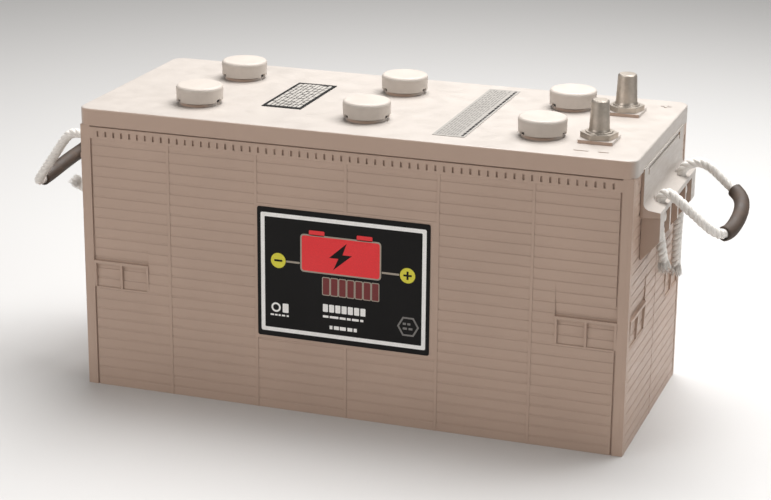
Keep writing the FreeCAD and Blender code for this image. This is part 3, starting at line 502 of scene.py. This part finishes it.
def twisted_rope(name, line, body, phase=0.0):
    """Strands laid round a line, each a tube of its own."""
    mesh = bmesh.new()
    line = evenly(line, STRAND_STEP)
    strand = ROPE_RADIUS * STRAND_SHARE
    reach = ROPE_RADIUS - strand
    for number in range(STRANDS):
        rings = []
        travelled = 0.0
        centres = []
        for spot, ((_, side, other), centre) in enumerate(zip(frames_along(line), line)):
            if spot:
                travelled += (centre - line[spot - 1]).length
            turn = math.tau * (travelled / LAY + number / STRANDS) + phase
            centres.append(centre + (side * math.cos(turn) + other * math.sin(turn)) * reach)
        for (_, side, other), centre in zip(frames_along(centres), centres):
            rings.append(ring(centre, side, other, strand, 12))
        tube_rings(mesh, rings)
    return new_piece(name, finished(mesh, name), "rope", body)


def rope_loop(side):
    """The loop from one hole to the other, with the grip on it."""
    body = f"handle_{side}"
    line = evenly(smooth_line(route_of(side)), LINE_STEP)
    rope = twisted_rope(f"rope_loop_{side}", line, None)
    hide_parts(f"handle_rope_{side}")
    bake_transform(rope)
    grip = grip_on(side, line, body)


def grip_on(side, line, body):
    """A flexible tube on the rope, with rolled ends."""
    first, last = (round(share * (len(line) - 1)) for share in GRIP_SPANS[side])
    part = line[first:last + 1]
    total = length_of(part)
    mesh = bmesh.new()
    bore = ROPE_RADIUS + GRIP_PLAY
    roll = (GRIP_RADIUS - bore) / 2
    places = frames_along(part)
    outside, travelled = [], 0.0
    for spot, ((_, side_way, other), centre) in enumerate(zip(places, part)):
        if spot:
            travelled += (centre - part[spot - 1]).length
        edge = min(travelled, total - travelled)
        drop = roll * (1 - math.sqrt(max(0.0, 1 - (1 - min(edge / roll, 1)) ** 2)))
        outside.append(ring(centre, side_way, other, GRIP_RADIUS - drop, 40))
    inside = [ring(centre, side_way, other, bore, 40)
              for (_, side_way, other), centre in zip(places, part)]
    rows = outside + inside[::-1]
    tube_rings(mesh, rows + rows[:1], closed_ends=False)
    bmesh.ops.remove_doubles(mesh, verts=mesh.verts, dist=1e-6)
    name = f"grip_{side}"
    grip = new_piece(name, finished(mesh, name), "grip", body)
    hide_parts(f"handle_grip_{side}")
    return grip


def stopper_knot(name, centre):
    """An overhand knot pulled up tight under the ledge."""
    mesh = bmesh.new()
    long, wide, tall = KNOT_REACH
    points = []
    steps = 90
    for step in range(steps):
        turn = math.tau * step / steps
        points.append(centre + Vector((
            (math.sin(turn) + 2 * math.sin(2 * turn)) * long,
            (math.cos(turn) - 2 * math.cos(2 * turn)) * wide,
            -math.sin(3 * turn) * tall)))
    points.append(points[0])
    rings = [ring(spot, side, other, KNOT_ROPE_RADIUS, 14)
             for (_, side, other), spot in zip(frames_along(points), points)]
    tube_rings(mesh, rings)
    return new_piece(name, finished(mesh, name), "rope", "case")


def frayed_end(name, centre, way, seed):
    """The rope's yarns, loose and spread past its cut end."""
    chance = random.Random(seed)
    mesh = bmesh.new()
    way = way.normalized()
    side = way.orthogonal().normalized()
    other = way.cross(side)
    steps = 8
    for _ in range(YARNS):
        turn, out = chance.uniform(0, math.tau), ROPE_RADIUS * 0.85 * math.sqrt(chance.random())
        spread = chance.uniform(0.05, 0.6)
        tall = chance.uniform(7, 14) * MM
        sway = (side * chance.uniform(-1, 1) + other * chance.uniform(-1, 1)) * SWAY
        away = side * math.cos(turn) + other * math.sin(turn)
        line = [centre + away * (out + spread * SPLAY * share ** 1.6)
                + sway * math.sin(share * 2.6) + way * (tall * share - ROOT)
                for share in (step / steps for step in range(steps + 1))]
        rings = [ring(spot, across, up, YARN_RADIUS * (1 - 0.4 * number / steps), 5)
                 for number, ((_, across, up), spot) in enumerate(zip(frames_along(line), line))]
        tube_rings(mesh, rings)
    return new_piece(name, finished(mesh, name), "rope", "case")


def rope_tails(side):
    """Below each hole: the stopper knot, and a short tail with a frayed end."""
    for seed, word in enumerate(ROW, FRAY_SEEDS[side]):
        route = tail_of(side, word)
        line = evenly(smooth_line(route), LINE_STEP)
        tail = twisted_rope(f"rope_tail_{side}_{word}", line, "case", phase=seed)
        knot = stopper_knot(f"rope_knot_{side}_{word}", route[1])
        fray = frayed_end(f"rope_fray_{side}_{word}", line[-1], line[-1] - line[-6], seed)
        for piece in (tail, knot, fray):
            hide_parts(f"rope_ends_{side}")


# --- labels and marks ------------------------------------------------------------------------

# Flat prints are drawn in millimetres: x and z on the front wall, x and y on the cover.
INK = 0.10 * MM
FRONT_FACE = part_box("front_label")[0][1]
COVER_LABEL_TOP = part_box("rating_label")[1][2]
COVER_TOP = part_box("rating_label")[0][2]
# The front label has seven charge bars, and seven block letters under them.
BLOCKS = 7
BAR_PITCH, LETTER_PITCH = 7.9, 6.05
# Both cover labels have eight rows of print.
ROWS = 8
RATING_PITCH, INSTRUCTION_PITCH = 4.2, 2.6


def rounded(left, low, right, high, radius=0.6, steps=4):
    """The outline of a rectangle with round corners."""
    points = []
    for number, (x, y) in enumerate(((right - radius, high - radius), (left + radius, high - radius),
                                     (left + radius, low + radius), (right - radius, low + radius))):
        for step in range(steps + 1):
            turn = math.pi / 2 * (number + step / steps)
            points.append((x + radius * math.cos(turn), y + radius * math.sin(turn)))
    return points


def disc(x, y, radius, corners=40, start=0.0):
    return [(x + radius * math.cos(turn), y + radius * math.sin(turn))
            for turn in (start + math.tau * step / corners for step in range(corners))]


def shifted(outline, x, y):
    return [(a + x, b + y) for a, b in outline]


def flat_print(name, outlines, material, on="front", thick=INK, base=None):
    """A thin raised print. An outline inside another one is a hole."""
    curve = bpy.data.curves.new(name, "CURVE")
    curve.dimensions = "2D"
    curve.fill_mode = "BOTH"
    curve.extrude = thick / 2
    for outline in outlines:
        spline = curve.splines.new("POLY")
        spline.points.add(len(outline) - 1)
        for knot, (x, y) in zip(spline.points, outline):
            knot.co = (x * MM, y * MM, 0, 1)
        spline.use_cyclic_u = True
    holder = bpy.data.objects.new(name, curve)
    mesh = bpy.data.meshes.new_from_object(holder)
    bpy.data.objects.remove(holder)
    bpy.data.curves.remove(curve)
    if on == "front":
        stand = Matrix.Rotation(math.pi / 2, 4, "X")
        mesh.transform(Matrix.Translation((0, FRONT_FACE - thick / 2, 0)) @ stand)
    else:
        mesh.transform(Matrix.Translation((0, 0, (base or COVER_LABEL_TOP) + thick / 2)))
    return new_piece(name, mesh, material, "case")


def greeked(chance, left, low, right, tall, word=(2.5, 9), gap=1.1, along_y=False):
    """A line of blocks that stands for a line of small print."""
    blocks, at = [], left
    while at < right - word[0]:
        end = min(at + chance.uniform(*word), right)
        box = (low, at, low + tall, end) if along_y else (at, low, end, low + tall)
        blocks.append(rounded(*box, radius=min(0.3, tall / 3), steps=2))
        at = end + gap * chance.uniform(0.7, 1.4)
    return blocks


def front_label():
    """Black sheet: a white frame, a battery emblem between two poles, and small print."""
    chance = random.Random(11)
    flat_print("label_frame", [rounded(-82, 77, 77, 191, 1.6),
                               rounded(-78.2, 80.8, 73.2, 187.2, 0.8)], "white_ink")
    body = rounded(-42, 139.5, 33, 173, 2.4)
    poles = [rounded(-35, 173.6, -20, 178.4, 1), rounded(11, 173.6, 26, 178.4, 1)]
    rim = [rounded(-43.4, 138.1, 34.4, 174.4, 3.4), body]
    flat_print("label_emblem_rim", rim, "beige_ink")
    bolt = [(1.5, 169.5), (-15.5, 154.2), (-6.5, 154.2), (-11.5, 143), (6.5, 158.2), (-2.5, 158.2)]
    flat_print("label_emblem", [body, bolt], "red_ink")
    flat_print("label_emblem_poles", poles, "red_ink")
    places = [BAR_PITCH * step for step in range(BLOCKS)]
    bars = [rounded(at - 21.5, 118.5, at - 15.3, 134.6, 1) for at in places]
    rims = [rounded(at - 22.3, 117.7, at - 14.5, 135.4, 1.4) for at in places]
    flat_print("label_charge_rims", [loop for pair in zip(rims, bars) for loop in pair],
               "beige_ink")
    flat_print("label_charge_bars", bars, "dark_red_ink")
    discs = [disc(-65, 146, 7.2), disc(59.5, 146, 7.2)]
    signs = [rounded(-69, 145, -61, 147, 0.5), plus_sign(59.5, 146, 8, 2)]
    flat_print("label_pole_discs", discs + signs, "yellow_ink")
    wires = [rounded(-57.2, 145.1, -44, 146.9, 0.4), rounded(35, 145.1, 51.7, 146.9, 0.4)]
    flat_print("label_wires", wires, "beige_ink")
    words = [rounded(at - 21.5, 102, at - 16.6, 109.4, 0.7)
             for at in (LETTER_PITCH * step for step in range(BLOCKS))]
    words += greeked(chance, -21.5, 96.4, 20, 2.2) + greeked(chance, -15, 85.8, 13, 3.4, (2.5, 6))
    words += greeked(chance, -73, 92.4, -55, 1.6, (2, 5))
    words += [disc(-67.5, 100.6, 4.6), disc(-67.5, 100.6, 2.9), rounded(-61, 96.2, -55.2, 105, 0.9)]
    flat_print("label_small_print", words, "white_ink")
    hexagon = [disc(60.5, 97.5, size, 6) for size in (10.4, 8.6)]
    flat_print("label_hexagon", hexagon + greeked(chance, 55.5, 99, 65.5, 2.0, (2, 4))
               + greeked(chance, 55.5, 94.5, 65.5, 2.0, (2, 4)), "grey_ink")


def plus_sign(x, y, wide, thick):
    half, side = wide / 2, thick / 2
    return shifted([(half, -side), (half, side), (side, side), (side, half), (-side, half),
                    (-side, side), (-half, side), (-half, -side), (-side, -side), (-side, -half),
                    (side, -half), (side, -side)], x, y)


def edges_of(label):
    """A cover label's left, near, right and far edges in millimetres."""
    lowest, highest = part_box(label)
    return [value / MM for value in (*lowest[:2], *highest[:2])]


def cover_labels():
    """The rating label's rows, the instruction label's rows and its heavy margin."""
    chance = random.Random(23)
    left, low, _, high = edges_of("rating_label")
    patches = []
    for row in range(ROWS):
        line = left + 3.2 + RATING_PITCH * row
        patches += greeked(chance, low + 5, line, high - 4, 3.3, (4, 15), 1.5, True)
    flat_print("rating_rows", patches, "pale_ink", "cover")
    left, low, right, high = edges_of("instruction_label")
    rows = []
    for row in range(ROWS):
        line = left + 2.5 + INSTRUCTION_PITCH * row
        rows += greeked(chance, low + 4, line, high - 4, 1.3, (3, 12), 2.4, True)
    flat_print("instruction_rows", rows, "faint_ink", "cover")
    margin = greeked(chance, low + 3, right - 4.2, high - 3, 2.2, (3, 9), 1.5, True)
    flat_print("instruction_heading", margin, "black", "cover")


def pole_marks():
    """A raised minus and plus in the cover beside the posts."""
    minus = [rounded(203, -92, 216, -89, 0.8), rounded(225, -91.4, 234, -89.4, 0.6)]
    flat_print("mark_negative", minus, "cover", "cover", 0.5 * MM, COVER_TOP)
    plus = [plus_sign(246, 88, 10, 2.6)]
    flat_print("mark_positive", plus, "cover", "cover", 0.5 * MM, COVER_TOP)


# --- stage -----------------------------------------------------------------------------------


def add_stage():
    """A wide pale floor, plain from every side."""
    reach = 12
    mesh = bmesh.new()
    mesh.faces.new([mesh.verts.new((x * reach, y * reach, 0))
                    for x, y in ((-1, -1), (1, -1), (1, 1), (-1, 1))])
    floor = bpy.data.objects.new("floor", finished(mesh, "floor"))
    floor.data.materials.append(stage_paint("floor_paint", (0.62, 0.61, 0.60)))
    scene.collection.objects.link(floor)


def add_light(name, place, target, wide, tall, watts, colour=(1, 1, 1)):
    lamp = bpy.data.lights.new(name, "AREA")
    lamp.shape = "RECTANGLE"
    lamp.size, lamp.size_y = wide, tall
    lamp.energy = watts
    lamp.color = colour
    holder = bpy.data.objects.new(name, lamp)
    scene.collection.objects.link(holder)
    holder.location = place
    holder.rotation_euler = (Vector(target) - Vector(place)).to_track_quat("-Z", "Y").to_euler()


def add_lights():
    add_light("key_above", (0.20, 0.55, 1.7), (0, 0, 0.25), 1.6, 1.2, 56)
    add_light("fill_front", (-1.5, -2.1, 1.2), (0, 0, 0.2), 1.5, 1.2, 21, (1, 0.955, 0.93))
    add_light("fill_end", (2.2, -0.6, 1.1), (0.2, 0, 0.15), 1.2, 1.2, 7.5)
    world = bpy.data.worlds.new("studio")
    scene.world = world
    world.use_nodes = True
    world.node_tree.nodes["Background"].inputs["Color"].default_value = (1, 0.985, 0.96, 1)
    world.node_tree.nodes["Background"].inputs["Strength"].default_value = 0.25
    scene.view_settings.view_transform = "Standard"


add_camera()
dress_nodes()
for handle_side in ("right", "left"):
    rope_loop(handle_side)
    rope_tails(handle_side)
front_label()
cover_labels()
pole_marks()
add_stage()
add_lights()
